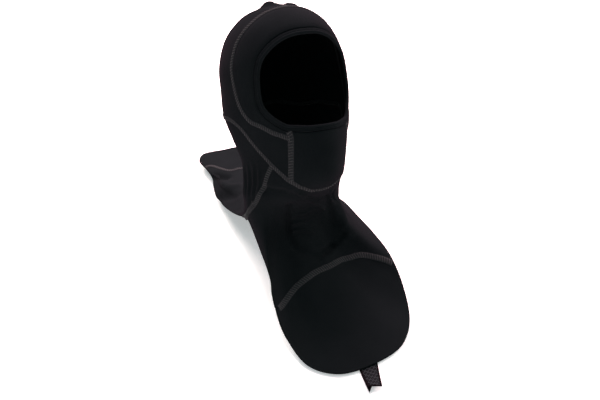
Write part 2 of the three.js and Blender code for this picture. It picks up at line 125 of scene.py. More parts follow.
# Turn, place in plan, height over the spread, how long it drops straight and how far it lies flat
HEM = np.array([
    [-180, 0, 213, 15, 0.55, 0.62],
    [-172, 28, 212, 15, 0.55, 0.62],
    [-164, 48, 198, 15, 0.55, 0.62],
    [-156, 54, 176, 15, 0.55, 0.62],
    [-146, 54, 148, 15, 0.55, 0.6],
    [-134, 58, 112, 15, 0.5, 0.55],
    [-120, 66, 68, 16, 0.4, 0.45],
    [-108, 74, 30, 24, 0.32, 0.38],
    [-96, 84, -8, 38, 0.3, 0.35],
    [-84, 91, -50, 50, 0.3, 0.35],
    [-72, 93, -95, 50, 0.34, 0.38],
    [-60, 93, -140, 50, 0.45, 0.45],
    [-48, 90, -185, 48, 0.58, 0.52],
    [-36, 90, -220, 25, 0.68, 0.58],
    [-24, 77, -258, 7, 0.74, 0.62],
    [-12, 46, -289, 4.4, 0.75, 0.62],
    [0, 2, -300, 4.4, 0.75, 0.62],
    [12, -42, -297, 4.4, 0.75, 0.62],
    [24, -71, -272, 5, 0.74, 0.62],
    [36, -80, -236, 14, 0.68, 0.58],
    [48, -81, -204, 36, 0.58, 0.52],
    [60, -75, -168, 56, 0.45, 0.45],
    [72, -70, -128, 63, 0.34, 0.38],
    [84, -66, -90, 70, 0.3, 0.35],
    [96, -58, -50, 60, 0.3, 0.35],
    [108, -50, -8, 37, 0.32, 0.38],
    [120, -54, 32, 22, 0.4, 0.45],
    [130, -62, 62, 17, 0.48, 0.52],
    [140, -58, 94, 15, 0.55, 0.6],
    [150, -49, 134, 15, 0.55, 0.62],
    [158, -50, 165, 15, 0.55, 0.62],
    [166, -52, 190, 15, 0.55, 0.62],
    [173, -36, 212, 15, 0.55, 0.62],
    [180, 0, 213, 15, 0.55, 0.62],
])


# %% From a turn and a ring to a point in space
def smoothstep(value, start, end):
    share = np.clip((value - start) / (end - start), 0, 1)
    return share * share * (3 - 2 * share)


def row_at(table, index):
    """The table's row at a fractional index, on a smooth curve through its rows."""
    last = len(table) - 1
    i = np.clip(np.floor(index).astype(int), 0, last - 1)
    t = (index - i)[..., None]
    p, q, r, s = (table[np.clip(i + k, 0, last)] for k in (-1, 0, 1, 2))
    return 0.5 * (
        2 * q
        + (r - p) * t
        + (2 * p - 5 * q + 4 * r - s) * t**2
        + (3 * q - p - 3 * r + s) * t**3
    )


head_turn = np.array(
    Matrix.Rotation(math.radians(HEAD_LEAN), 3, "Y") @ Matrix.Rotation(math.radians(-HEAD_PITCH), 3, "X")
)


def hood_point(turn, ring):
    height, front, back, half, taper, shift = np.moveaxis(row_at(HOOD, ring), -1, 0)
    ahead, aside = np.cos(np.radians(turn)), np.sin(np.radians(turn))
    x = shift - half * aside * (1 - taper * np.maximum(ahead, 0))
    y = HEAD_CENTRE + np.where(ahead > 0, front - HEAD_CENTRE, HEAD_CENTRE - back) * ahead
    return np.stack([x, y, height], axis=-1) @ head_turn.T


def unit(vectors):
    return vectors / np.linalg.norm(vectors, axis=-1, keepdims=True)


def skirt_point(turn, share):
    """Below the neck each turn has one cubic curve, down from the neck and out to the hem."""
    at_neck = np.full_like(turn, NECK_RING)
    neck = hood_point(turn, at_neck)
    down = unit(neck - hood_point(turn, at_neck - NECK_STEP))
    nape = smoothstep(np.abs(turn), *NAPE_TURNS)[..., None]
    down = down * (1 - nape) + NAPE_DOWN * nape
    row = row_at(HEM, np.interp(turn, HEM[:, 0], np.arange(len(HEM))))
    hem = np.stack([row[..., 1], row[..., 2], SPREAD + row[..., 3]], axis=-1)
    out = hem - neck
    drop = np.abs(out[..., 2:])
    out[..., 2] *= SKIRT_OUT_FLATNESS
    below = neck + down * drop * row[..., 4:5]
    inside = hem - out * row[..., 5:6]
    t = share[..., None]
    return (1 - t) ** 3 * neck + 3 * t * (1 - t) ** 2 * below + 3 * t**2 * (1 - t) * inside + t**3 * hem


# %% [markdown]
# ## A flat chart of the cloth
# Turns and rings meet at the crown, where no grid can run straight across. So lines and panels
# are drawn in a flat chart, with the crown at its middle and the hem round its border, as on a
# map of the pole. Seams are smooth curves in the chart, and a length on the cloth is measured by
# taking the chart's places back into space.


# %% The chart, and lengths measured through it
def to_chart(places):
    turn, ring = np.asarray(places, float).T
    radius = np.where(ring <= NECK_RING, ring, NECK_RING + (ring - NECK_RING) * SKIRT_SPAN)
    return np.stack([np.sin(np.radians(turn)), np.cos(np.radians(turn))], axis=-1) * radius[:, None]


def from_chart(chart):
    radius = np.hypot(chart[..., 0], chart[..., 1])
    ring = np.where(radius <= NECK_RING, radius, NECK_RING + (radius - NECK_RING) / SKIRT_SPAN)
    return np.degrees(np.arctan2(chart[..., 0], chart[..., 1])), ring


def smooth_cloth(chart):
    turn, ring = from_chart(chart)
    hood = hood_point(turn, np.minimum(ring, NECK_RING))
    skirt = skirt_point(turn, np.clip(ring - NECK_RING, 0, 1))
    return np.where((ring <= NECK_RING)[..., None], hood, skirt)


CHART_STEP = 0.02  # rings to either side, for a slope


def chart_slopes(chart):
    """How the point in space moves for a step along each axis of the chart."""
    return [
        (smooth_cloth(chart + step) - smooth_cloth(chart - step)) / (2 * CHART_STEP)
        for step in np.array([[CHART_STEP, 0], [0, CHART_STEP]])
    ]


def cloth_normal(chart):
    return unit(np.cross(*chart_slopes(chart)))


def line_lengths(points):
    return np.concatenate([[0], np.cumsum(np.linalg.norm(np.diff(points, axis=0), axis=1))])


def evenly(chart, count):
    """The same line again, as count steps of even length on the cloth."""
    along = line_lengths(smooth_cloth(chart))
    at = np.linspace(0, along[-1], count + 1)
    return np.stack([np.interp(at, along, chart[:, k]) for k in (0, 1)], axis=-1)


FINE = 400  # steps in each line that is worked out


def curve_through(rows, first=0, last=None):
    """A smooth line in the chart through rows of turn and ring, from one row to another."""
    last = len(rows) - 1 if last is None else last
    return evenly(row_at(to_chart(rows), np.linspace(first, last, FINE)), FINE)


def beside(chart, distance):
    """The line moved sideways on the cloth, by real millimetres, to the right of its run."""
    run = np.gradient(chart, axis=0)
    across, along = chart_slopes(chart)
    xx, xy, yy = (across**2).sum(-1), (across * along).sum(-1), (along**2).sum(-1)
    square = np.stack([xy * run[:, 0] + yy * run[:, 1], -(xx * run[:, 0] + xy * run[:, 1])], axis=-1)
    real = np.linalg.norm(across * square[:, :1] + along * square[:, 1:], axis=1)
    return chart + square / real[:, None] * distance


CROWN_RING = 0.01  # just beside the crown, where a turn still has a meaning
crown_to_neck = smooth_cloth(to_chart([[0, ring] for ring in np.linspace(CROWN_RING, NECK_RING, FINE)]))
print("crown to neck down the front:", round(line_lengths(crown_to_neck)[-1]), "mm")

# %% [markdown]
# ## Seams
# The hood has a front arch, two side panels and a mouth panel, and the yokes hang from the chin
# seam. Each seam is written as turns and rings down the wearer's right side and mirrored for the
# left. The numbers are the frame's own, so the finer panels lie where the plain ones were.

# %% Seam lines
ARC_SEAM = [[0, 1.72], [28, 1.9], [52, 2.48], [62, 2.94], [70, 3.42], [74, 3.93], [75.5, 4.42],
            [74.5, 5.04], [72, 5.56], [68.5, 6.02], [64, 6.37], [57, 6.58], [48.5, 6.89], [37, 7.2]]
FACE_EDGE = [[0, 3.46], [12, 3.48], [24, 3.6], [36, 3.88], [43, 4.18], [47, 4.54], [49, 4.94],
             [49.5, 5.38], [48.5, 5.84], [45, 6.18], [40, 6.45], [33.5, 6.64], [22, 6.72],
             [12, 6.76], [0, 6.77]]
FACE_CORNER = 11
MOUTH_SEAM = [[37, 7.2], [42, 7.9], [44, 8.6], [43, 9.1]]
CHIN_SEAM = [[0, 10.03], [14, 9.95], [29.5, 9.56], [43, 9.1], [52, 8.68], [60.5, 8.22],
             [67.5, 7.68], [72.5, 7.14], [77.5, 6.58], [85, 6.24], [107, 6.04], [140, 5.95], [180, 5.9]]
CHIN_AT_MOUTH, CHIN_AT_SHOULDER = 3, 5
BACK_SEAM = [[180, 5.9], [180, 4], [180, 2], [180, 0], [0, 1.72]]
SHOULDER_SEAM = [[60.5, 8.22], [66.5, 8.75], [69.5, 9.5], [73, 10.4], [83, 11.08], [96, 11.35],
                 [102, 11.6], [103, 12]]
FRONT_BIB_SEAM = [[-43.8, 12], [-43, 11.88], [-37, 11.69], [-26, 11.58], [-8, 11.54], [8, 11.555],
                  [23, 11.63], [36, 11.77], [44, 11.91], [48.5, 12]]
BACK_BIB_SEAM = [[158, 12], [167.5, 11.92], [171, 11.885], [173.5, 11.835], [176, 11.795], [180, 11.8]]
HEM_WIDTH = 7


def mirrored(line):
    return line * [-1, 1]


def joined(*lines):
    return np.concatenate([lines[0]] + [line[1:] for line in lines[1:]])


def both_sides(line):
    """From the left round the front to the right, for a line that starts at the front."""
    return joined(mirrored(line)[::-1], line)


def round_the_back(line):
    """From the right round the back to the left, for a line that ends at the back."""
    return joined(line, mirrored(line)[::-1])


def hem_line(start, end):
    turns = np.linspace(start, end, FINE)
    return evenly(to_chart(np.stack([turns, np.full(FINE, HEM_RING)], axis=-1)), FINE)


arc = curve_through(ARC_SEAM)
# A mirrored row past each end keeps the face edge level where its two halves meet
past_top, past_bottom = ([-FACE_EDGE[k][0], FACE_EDGE[k][1]] for k in (1, -2))
face_rows = [past_top, *FACE_EDGE, past_bottom]
face_upper = curve_through(face_rows, 1, FACE_CORNER + 1)
face_lower = curve_through(face_rows, FACE_CORNER + 1, len(FACE_EDGE))
face_edge = both_sides(joined(face_upper, face_lower))
wrapped = np.concatenate([face_edge[-2:-1], face_edge, face_edge[1:2]])
hem_outer = beside(wrapped, HEM_WIDTH)[1:-1]
outer_half = hem_outer[len(hem_outer) // 2:]
outer_upper = outer_half[:len(face_upper)]
outer_lower = outer_half[len(face_upper) - 1:]
corner_turn, corner_ring = from_chart(outer_lower[0])
mouth_rows = [[float(corner_turn), float(corner_ring)]] + MOUTH_SEAM
mouth_upper = curve_through(mouth_rows, 0, 1)
mouth_lower = curve_through(mouth_rows, 1)
mouth_line = joined(mouth_upper, mouth_lower)
chin_front = curve_through(CHIN_SEAM, 0, CHIN_AT_MOUTH)
chin_side = curve_through(CHIN_SEAM, CHIN_AT_MOUTH, CHIN_AT_SHOULDER)
chin_back = curve_through(CHIN_SEAM, CHIN_AT_SHOULDER)
chin_line = joined(chin_front, chin_side, chin_back)
back_middle = curve_through(BACK_SEAM)
shoulder = curve_through(SHOULDER_SEAM)
front_bib_line = curve_through(FRONT_BIB_SEAM)
back_bib_line = curve_through(BACK_BIB_SEAM)
print("arc seam:", round(2 * line_lengths(smooth_cloth(arc))[-1]), "mm")

# %% [markdown]
# ## Folds
# Cloth that is made for a moving neck has spare length, and it shows as creases under the chin,
# gathers at the nape and a puff behind the crown. Each fold is a line on the cloth with a width
# and a height, negative for a valley. The cloth is lifted off its smooth form by all of them.

# %% Folds and gathers
FOLDS = [  # line of turn and ring, width, height
    ([[27, 0.8], [37, 0.85]], 7, 6),
    ([[-19, 1.15], [-25, 1.4]], 5, 3),
    ([[68, 9.7], [50, 9.9], [22, 10.4], [-16, 11.02], [-61, 11.2]], 5, -2.5),
    ([[69, 9.4], [57, 9.6], [45, 9.8]], 2.2, -1.8),
    ([[26, 10.1], [12, 10.6], [-3, 11.02], [-18, 11.08], [-29, 11.14]], 3, 3.4),
    ([[27, 11.03], [20, 11.15], [18, 11.25], [17, 11.33], [13, 11.39], [6, 11.42], [-1, 11.45], [-12, 11.46],
      [-22, 11.455]], 4.2, -3.4),
    ([[-12, 11.46], [-22, 11.46], [-32, 11.465], [-43, 11.49]], 3.5, -1.6),
    ([[22, 11.06], [16.5, 11.17], [15, 11.29]], 2.2, 2),
    ([[15, 11.14], [-1, 11.135], [-27, 11.14]], 2.4, 3),
    ([[14, 11.21], [1, 11.22]], 2.3, 2.5),
    ([[14, 11.27], [2, 11.28], [-8, 11.31]], 2.4, 2.7),
    ([[-35, 11.03], [-40, 11.22], [-35, 11.35]], 5, -2.2),
    ([[-59, 11.26], [-57, 11.38], [-50, 11.45], [-43, 11.475]], 6, 3),
    ([[-40, 11.54], [-30, 11.505], [-18, 11.49], [-7, 11.5]], 5, 2.2),
    ([[-27, 10.4], [-46, 11.13]], 2.2, 1.9),
    ([[-42, 10.6], [-60, 11.19]], 2.2, 1.9),
    ([[167, 11.82], [172, 11.75]], 8, -7),
    ([[159, 11.77], [167, 11.66], [172, 11.62]], 8, 3.5),
    ([[140, 11.88], [145, 11.78], [156, 11.62]], 10, -5),
]
FOLD_SAMPLING = 25  # a fold's line keeps one point in so many

# The nape's gathers, with the turns and rings where they begin, are full, fade and end
PLEAT_PITCH = 6.2
PLEAT_HEIGHT = 0.95
PLEAT_TURNS = (69, 76, 98, 112)
PLEAT_RINGS = (7.8, 8.8, 9.8, 10.6)


def within(value, start, full, still_full, end):
    return smoothstep(value, start, full) * (1 - smoothstep(value, still_full, end))


def distance_to(line, points):
    nearest = np.full(points.shape[:-1], np.inf)
    for begin, way in zip(line[:-1], np.diff(line, axis=0)):
        away = points - begin
        share = np.clip(away @ way / (way @ way), 0, 1)
        nearest = np.minimum(nearest, np.linalg.norm(away - share[..., None] * way, axis=-1))
    return nearest


fold_lines = [
    (smooth_cloth(curve_through(line)[::FOLD_SAMPLING]), width, height) for line, width, height in FOLDS
]


def relief(chart, points):
    """How far folds and gathers lift the cloth off its smooth form."""
    lift = np.zeros(points.shape[:-1])
    for line, width, height in fold_lines:
        lift += height * np.exp(-((distance_to(line, points) / width) ** 2))
    turn, ring = from_chart(chart)
    side = np.abs(turn)
    gathered = within(side, *PLEAT_TURNS) * within(ring, *PLEAT_RINGS)
    return lift + PLEAT_HEIGHT * gathered * np.cos(2 * math.pi * side / PLEAT_PITCH)


def cloth(chart, lift=0):
    """Points on the folded cloth's outer face, or lift millimetres above it."""
    points = smooth_cloth(chart)
    return points + cloth_normal(chart) * (relief(chart, points) + lift)[..., None]


print("folds:", len(FOLDS))

# %% [markdown]
# ## Meshes made by hand
# Cloth sheets are made in mesh code, because a panel is a grid that has to follow its seams to
# the millimetre. A panel is filled in the chart between its four sides, lifted into space, and
# closed into a wall with a rounded cut edge. Its UV map holds real lengths in metres, so a knit
# on it keeps its scale.


# %% A mesh, and a panel between four sides
def add_mesh(name, points, faces, uv=None):
    """A smooth piece that rides on the body, with its points and its UV map in millimetres."""
    mesh = bpy.data.meshes.new(name)
    mesh.from_pydata((points * MM).tolist(), [], faces)
    if uv is not None:
        corners = np.array([point for face in faces for point in face])
        mesh.uv_layers.new(name="cloth").data.foreach_set("uv", (uv[corners] * MM).ravel())
    mesh.shade_smooth()
    piece = bpy.data.objects.new(name, mesh)
    bpy.context.collection.objects.link(piece)
    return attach(piece, BODY)


CELL = 2.2  # about the size of a panel's cells


def side_steps(stretches, count):
    """One side of a panel as count steps, with a step's end wherever two stretches meet."""
    if len(stretches) == 1:
        return evenly(stretches[0], count)
    lengths = np.array([line_lengths(smooth_cloth(line))[-1] for line in stretches])
    ends = np.round(np.cumsum(lengths) / lengths.sum() * count).astype(int)
    counts = np.diff(np.concatenate([[0], ends]))
    return joined(*(evenly(line, n) for line, n in zip(stretches, counts)))


def panel_chart(top, bottom, left, right):
    """Top and bottom run from left to right, left and right from top to bottom."""
    longest = [
        max(line_lengths(smooth_cloth(joined(*side)))[-1] for side in pair)
        for pair in ((top, bottom), (left, right))
    ]
    columns, rows = (math.ceil(length / CELL) for length in longest)
    over, under = (side_steps(side, columns)[None] for side in (top, bottom))
    before, after = (side_steps(side, rows)[:, None] for side in (left, right))
    u = np.linspace(0, 1, columns + 1)[None, :, None]
    v = np.linspace(0, 1, rows + 1)[:, None, None]
    over_corners, under_corners = ((1 - u) * side[:, :1] + u * side[:, -1:] for side in (over, under))
    corners = (1 - v) * over_corners + v * under_corners
    return (1 - v) * over + v * under + (1 - u) * before + u * after - corners


def grid_lengths(points):
    """Real lengths across and down a grid, as its UV map."""
    across = np.linalg.norm(np.diff(points, axis=1), axis=-1)
    across = np.concatenate([np.zeros((len(points), 1)), np.cumsum(across, axis=1)], axis=1)
    down = np.linalg.norm(np.diff(points, axis=0), axis=-1)
    down = np.concatenate([np.zeros((1, points.shape[1])), np.cumsum(down, axis=0)])
    return np.stack([across - across.mean(axis=1, keepdims=True), -down], axis=-1)


ROUNDED = 0.28  # share of a cell by which the cut edge is drawn back


def border(rows, columns):
    """The indices of a grid's border, once round."""
    index = np.arange(rows * columns).reshape(rows, columns)
    return np.concatenate([index[0, :-1], index[:-1, -1], index[-1, :0:-1], index[:0:-1, 0]])


def pulled_in(points):
    """The grid with its border drawn back a little, for a rounded edge."""
    grid = points.copy()
    grid[0] += (points[1] - points[0]) * ROUNDED
    grid[-1] += (points[-2] - points[-1]) * ROUNDED
    grid[:, 0] += (points[:, 1] - points[:, 0]) * ROUNDED
    grid[:, -1] += (points[:, -2] - points[:, -1]) * ROUNDED
    return grid


def following(loop):
    return np.roll(loop, -1)


def wall(name, outer, inner, uv):
    """A closed wall of cloth from its outer and inner grid, with its edge rounded."""
    rows, columns = outer.shape[:2]
    index = np.arange(rows * columns).reshape(rows, columns)
    a, b, c, d = index[:-1, :-1], index[:-1, 1:], index[1:, 1:], index[1:, :-1]
    skin = np.stack([a, d, c, b], axis=-1).reshape(-1, 4)
    ring = border(rows, columns)
    edge = np.arange(len(ring)) + 2 * rows * columns
    inside = ring + rows * columns
    upper = np.stack([ring, following(ring), following(edge), edge], axis=-1)
    lower = np.stack([edge, following(edge), following(inside), inside], axis=-1)
    middle_line = ((outer + inner) / 2).reshape(-1, 3)[ring]
    points = np.concatenate([pulled_in(outer).reshape(-1, 3), pulled_in(inner).reshape(-1, 3), middle_line])
    faces = np.concatenate([skin, skin[:, ::-1] + rows * columns, upper, lower])
    flat_uv = uv.reshape(-1, 2)
    return add_mesh(name, points, faces.tolist(), np.concatenate([flat_uv, flat_uv, flat_uv[ring]]))


cloth_areas = {}


def sheet_wall(name, outer, inner):
    """A wall between two grids, with its outer area noted in square metres."""
    slants = np.cross(outer[1:, 1:] - outer[:-1, :-1], outer[1:, :-1] - outer[:-1, 1:])
    cloth_areas[name] = np.linalg.norm(slants, axis=-1).sum() / 2 * MM**2
    return wall(name, outer, inner, grid_lengths(outer))


def cloth_panel(name, node, **sides):
    chart = panel_chart(**sides)
    outer = cloth(chart)
    inner = outer - cloth_normal(chart) * WALL
    piece = sheet_wall(name, outer, inner)
    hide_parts(node)
    print(f"{name}: {chart.shape[1] - 1} by {chart.shape[0] - 1} cells")
    return piece


# %% Hood panels
face_surround = cloth_panel(
    "face_surround_cloth", "face_surround",
    top=[both_sides(arc)],
    bottom=[both_sides(outer_upper)],
    left=[mirrored(mouth_upper)[::-1]],
    right=[mouth_upper[::-1]],
)
side_panels = [
    cloth_panel(
        f"side_panel_{side}_cloth", f"side_panel_{side}",
        top=[placed(arc)],
        bottom=[placed(joined(chin_side, chin_back))[::-1]],
        left=[placed(back_middle)[::-1]],
        right=[placed(mouth_lower)],
    )
    for side, placed in (("right", lambda line: line), ("left", mirrored))
]
mouth_panel = cloth_panel(
    "mouth_panel_cloth", "mouth_panel",
    top=[both_sides(outer_lower[::-1])],
    bottom=[both_sides(chin_front)],
    left=[mirrored(mouth_line)],
    right=[mouth_line],
)

# %% Yokes and bibs
HEM_AT_SHOULDER, HEM_AT_BACK_BIB = 103, 158
HEM_AT_BIB_RIGHT, HEM_AT_BIB_LEFT = 48.5, 43.8
BIB_CORNER, BACK_BIB_CORNER = 20, 171
yoke_hem_right = hem_line(HEM_AT_BIB_RIGHT, HEM_AT_SHOULDER)
yoke_hem_left = mirrored(hem_line(HEM_AT_BIB_LEFT, HEM_AT_SHOULDER))
front_yoke = cloth_panel(
    "front_yoke_cloth", "front_yoke",
    top=[both_sides(joined(chin_front, chin_side))],
    bottom=[yoke_hem_left[::-1], front_bib_line, yoke_hem_right],
    left=[mirrored(shoulder)],
    right=[shoulder],
)
back_hem = hem_line(HEM_AT_SHOULDER, HEM_AT_BACK_BIB)
round_back = round_the_back(back_bib_line)
back_yoke = cloth_panel(
    "back_yoke_cloth", "back_yoke",
    top=[round_the_back(chin_back)],
    bottom=[back_hem, round_back, mirrored(back_hem)[::-1]],
    left=[shoulder],
    right=[mirrored(shoulder)],
)
front_bib = cloth_panel(
    "front_bib_cloth", "front_bib",
    top=[front_bib_line],
    bottom=[both_sides(hem_line(0, BIB_CORNER))],
    left=[mirrored(hem_line(BIB_CORNER, HEM_AT_BIB_LEFT))[::-1]],
    right=[hem_line(BIB_CORNER, HEM_AT_BIB_RIGHT)[::-1]],
)
back_side = hem_line(HEM_AT_BACK_BIB, BACK_BIB_CORNER)
back_tip = hem_line(BACK_BIB_CORNER, 180)
back_bib = cloth_panel(
    "back_bib_cloth", "back_bib",
    top=[round_back],
    bottom=[round_the_back(back_tip)],
    left=[back_side],
    right=[mirrored(back_side)],
)

# %% [markdown]
# ## The turned hem round the face opening
# The edge of the face opening is turned in and stitched down, so it is thicker than the rest and
# rolls inward. It could be extruded from the panel's edge. A profile swept round the opening in
# the chart follows both panels at once, and keeps the two stitched grooves at an even distance
# from the edge.


# %% A sweep, and the hem made with it
def sweep(name, rings, closed=False):
    """A body through rings of points, joined end to end or capped at both ends."""
    steps, around = rings.shape[:2]
    index = np.arange(steps * around).reshape(steps, around)
    ahead = np.roll(index, -1, axis=0)[: steps if closed else steps - 1]
    here = index[: len(ahead)]
    faces = np.stack([here, ahead, np.roll(ahead, -1, axis=1), np.roll(here, -1, axis=1)], axis=-1)
    faces = faces.reshape(-1, 4).tolist()
    if not closed:
        faces += [index[0].tolist(), index[-1, ::-1].tolist()]
    along = line_lengths(rings.mean(axis=1))
    girth = line_lengths(rings[0])
    spread = np.stack(np.broadcast_arrays(girth[None], along[:, None]), axis=-1).reshape(-1, 2)
    return add_mesh(name, rings.reshape(-1, 3), faces, spread)


HEM_PROFILE = [  # how far in from the panel's edge, and how far above the cloth
    (0, -0.5), (0.3, 0.3), (0.9, 0.6), (1.5, 0.15), (2.1, 0.65), (2.7, 0.6), (3.3, 0.15), (3.9, 0.75),
    (5.0, 1.0), (6.0, 0.8), (6.8, 0.1), (7.1, -0.9), (6.9, -1.9), (6.2, -2.7), (4.8, -3.1), (2, -3.1),
    (0.4, -2.9), (0, -2.2),
]
HEM_STEPS = 260
hem_edge = evenly(face_edge, HEM_STEPS)[:-1]
hem_start = evenly(hem_outer, HEM_STEPS)[:-1]
hem_lines = [
    cloth(hem_start + (hem_edge - hem_start) * reach / HEM_WIDTH, lift) for reach, lift in HEM_PROFILE
]
opening_hem = sweep("opening_hem_cloth", np.stack(hem_lines, axis=1), closed=True)
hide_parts("opening_hem")
print("hem round the face opening:", round(line_lengths(smooth_cloth(face_edge))[-1]), "mm")

# %% [markdown]
# ## Flat seams
# The panels are butted and joined by a flat seam that lies on both of them: a low band with a
# ridge down each side, crossed by a ladder of threads. A bump could draw it, but from the side
# the band has to stand proud. So the band is a sweep along the seam, and each cross thread is a
# short bowed tube over it.


# %% Threads
THREAD_SIDES = 5
THREAD_TAPER = 0.5  # how thick a thread's ends are, as a share of its middle


def threads(name, paths, ups, radius):
    """Short closed tubes, one for each path of points, in one mesh."""
    count, steps = paths.shape[:2]
    run = unit(np.gradient(paths, axis=1))
    aside = unit(np.cross(run, ups))
    over = np.cross(aside, run)
    girth = np.full(steps, radius)
    girth[[0, -1]] *= THREAD_TAPER
    turn = 2 * math.pi * np.arange(THREAD_SIDES) / THREAD_SIDES
    ring = aside[:, :, None] * np.cos(turn)[:, None] + over[:, :, None] * np.sin(turn)[:, None]
    points = paths[:, :, None] + ring * girth[:, None, None]
    index = np.arange(points.size // 3).reshape(count, steps, THREAD_SIDES)
    here, ahead = index[:, :-1], index[:, 1:]
    faces = np.stack([here, np.roll(here, -1, axis=2), np.roll(ahead, -1, axis=2), ahead], axis=-1)
    faces = faces.reshape(-1, 4).tolist() + index[:, 0, ::-1].tolist() + index[:, -1].tolist()
    return add_mesh(name, points.reshape(-1, 3), faces)


# %% The flat seam's band and its ladder of stitches
BAND_TOP = [  # across the band in half widths, and height over the cloth
    (-1, -0.5), (-0.96, 0.15), (-0.8, 0.5), (-0.45, 0.55), (-0.1, 0.4), (0.1, 0.4), (0.45, 0.55), (0.8, 0.5),
    (0.96, 0.15), (1, -0.5),
]
BAND_PROFILE = BAND_TOP + [(-share, -WALL - lift) for share, lift in BAND_TOP]
BAND_STEP = 1.4
STITCH_PITCH = 3.2
RUNG_BOW = [(-0.92, 0.1), (-0.6, 0.78), (0, 0.7), (0.6, 0.78), (0.92, 0.1)]
THREAD = 0.34


def flat_seam(name, line, width, at_start=0, at_end=0):
    """A band and its stitches along a line, cut short at either end where that is at the hem."""
    along = line_lengths(smooth_cloth(line))
    line = line[(along >= at_start) & (along <= along[-1] - at_end)]
    length = along[-1] - at_start - at_end
    steps = evenly(line, math.ceil(length / BAND_STEP))
    half = width / 2
    rings = np.stack([cloth(beside(steps, share * half), lift) for share, lift in BAND_PROFILE], axis=1)
    band = sweep(f"{name}_band", rings)
    rungs = math.floor(length / STITCH_PITCH)
    quarters = evenly(line, rungs * 4)
    lanes = []
    for share, lift in RUNG_BOW:
        # A rung leans, from the first quarter of its pitch on one side to the third on the other
        lean = int(np.sign(share))
        lanes.append(cloth(beside(quarters, share * half)[2 + lean::4][:rungs], lift))
    paths = np.stack(lanes, axis=1)
    ups = np.broadcast_to(cloth_normal(quarters[2::4][:rungs])[:, None], paths.shape)
    stitches = threads(f"{name}_stitches", paths, ups, THREAD)
    print(f"{name}: {length:.0f} mm, {rungs} stitches")
    return band, stitches


HEM_CLEAR = 4.5  # a seam ends this far before the hem, which is turned over it
SEAMS = {  # line, width, and how far it ends before the hem at either end
    "arc_seam": (both_sides(arc), 6),
    "back_seam": (back_middle, 6),
    "chin_seam": (both_sides(chin_line), 6),
    "mouth_seam_right": (mouth_line, 8),
    "mouth_seam_left": (mirrored(mouth_line), 8),
    "shoulder_seam_right": (shoulder, 6.5, 0, HEM_CLEAR),
    "shoulder_seam_left": (mirrored(shoulder), 6.5, 0, HEM_CLEAR),
    "front_bib_seam": (front_bib_line, 8, HEM_CLEAR, HEM_CLEAR),
    "back_bib_seam": (round_back, 6, HEM_CLEAR, HEM_CLEAR),
}
seams = {name: flat_seam(name, *measures) for name, measures in SEAMS.items()}

# %% [markdown]
# ## The hem label
# A folded woven tag is caught under the front hem. It turns aside as it leaves the hem, and its
# two plies part a little at the free end. A flat card would show the same from above, but from
# the side the plies are seen. The upper ply carries a patch with a small woven lozenge pattern.

# %% Label
LABEL_PLY = 0.5
LABEL_COLUMNS, LABEL_ROWS = 24, 40
# Each ply's corners, as x, y and height over the floor: two under the hem and then the free ones
UPPER_PLY = [(-16.5, -291.5, 0.9), (9, -291.5, 0.9), (-24.3, -325.5, 6), (-9.6, -332.6, 7)]
LOWER_PLY = [(-17, -291.5, 0.2), (8, -291.5, 0.2), (-25.7, -332.3, 4), (-10, -318, 3)]
WOVEN_PATCH = [(-14.6, -291.5, 1.1), (7, -291.5, 1.1), (-21.6, -324.5, 6.1), (-11, -329.7, 6.8)]


def label_ply(name, corners):
    """A ply between four corners, rising more and more towards its free end."""
    under_left, under_right, free_left, free_right = np.array(corners)
    side = np.linspace(0, 1, LABEL_COLUMNS)[None, :, None]
    down = np.linspace(0, 1, LABEL_ROWS)[:, None, None]
    at_hem = under_left + (under_right - under_left) * side
    at_end = free_left + (free_right - free_left) * side
    inner = at_hem + (at_end - at_hem) * down ** [1, 1, 2] + [0, 0, SPREAD]
    outer = inner + [0, 0, LABEL_PLY]
    return sheet_wall(name, outer, inner)


upper_ply = label_ply("hem_label_front", UPPER_PLY)
lower_ply = label_ply("hem_label_back", LOWER_PLY)
woven_patch = label_ply("hem_label_weave", WOVEN_PATCH)
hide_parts("hem_label")

# %% [markdown]
# ## Sheets of cloth
# Each piece of cloth was cut flat before it was sewn. The panels' cuts are curved, so each piece's area is
# worked out and printed beside the rectangle of its cut. Under the hood's pull the cloth is a little longer
# than its cut, while the yokes and bibs only hang and lie.

HOOD_STRETCH = 1.06
CUTS = [  # piece, flat width and length, how it is held, and the seams that go with it
    (face_surround, 196, 168, "stretched", ["arc_seam"]),
    (side_panels[0], 196, 182, "stretched", ["back_seam"]),
    (side_panels[1], 196, 182, "stretched", []),
    (mouth_panel, 84, 86, "stretched", ["mouth_seam_right", "mouth_seam_left"]),
    (front_yoke, 280, 190, "draped", ["chin_seam", "shoulder_seam_right", "shoulder_seam_left"]),
    (back_yoke, 330, 320, "draped", []),
    (front_bib, 172, 146, "laid", ["front_bib_seam"]),
    (back_bib, 110, 74, "laid", ["back_bib_seam"]),
    (upper_ply, 25.5, 41, "folded", []),
    (lower_ply, 25.7, 41, "folded", []),
]
for piece, width, length, held, along in CUTS:
    stretch = HOOD_STRETCH if held == "stretched" else 1
    area = cloth_areas[piece.name] / stretch**2
    share = area / (width * length * MM**2)
    print(f"{piece.name}: {area:.4f} square metres, {share:.2f} of its rectangle")

# %% [markdown]
# ## Materials
# The fleece is almost black, and what shows is its nap: where light grazes it, it turns a warm
# grey. A photograph of cloth could be laid over it, but it would blur close up. So the knit, the
# nap and the fibres of the yarn are worked out from real lengths, in node groups that the
# materials share. The knit reads the panels' own UV map, so its ribs run down each panel.


# %% Helpers for nodes
RESULT_KINDS = {"Shade": "Float", "Normal": "Vector", "Pattern": "Float"}


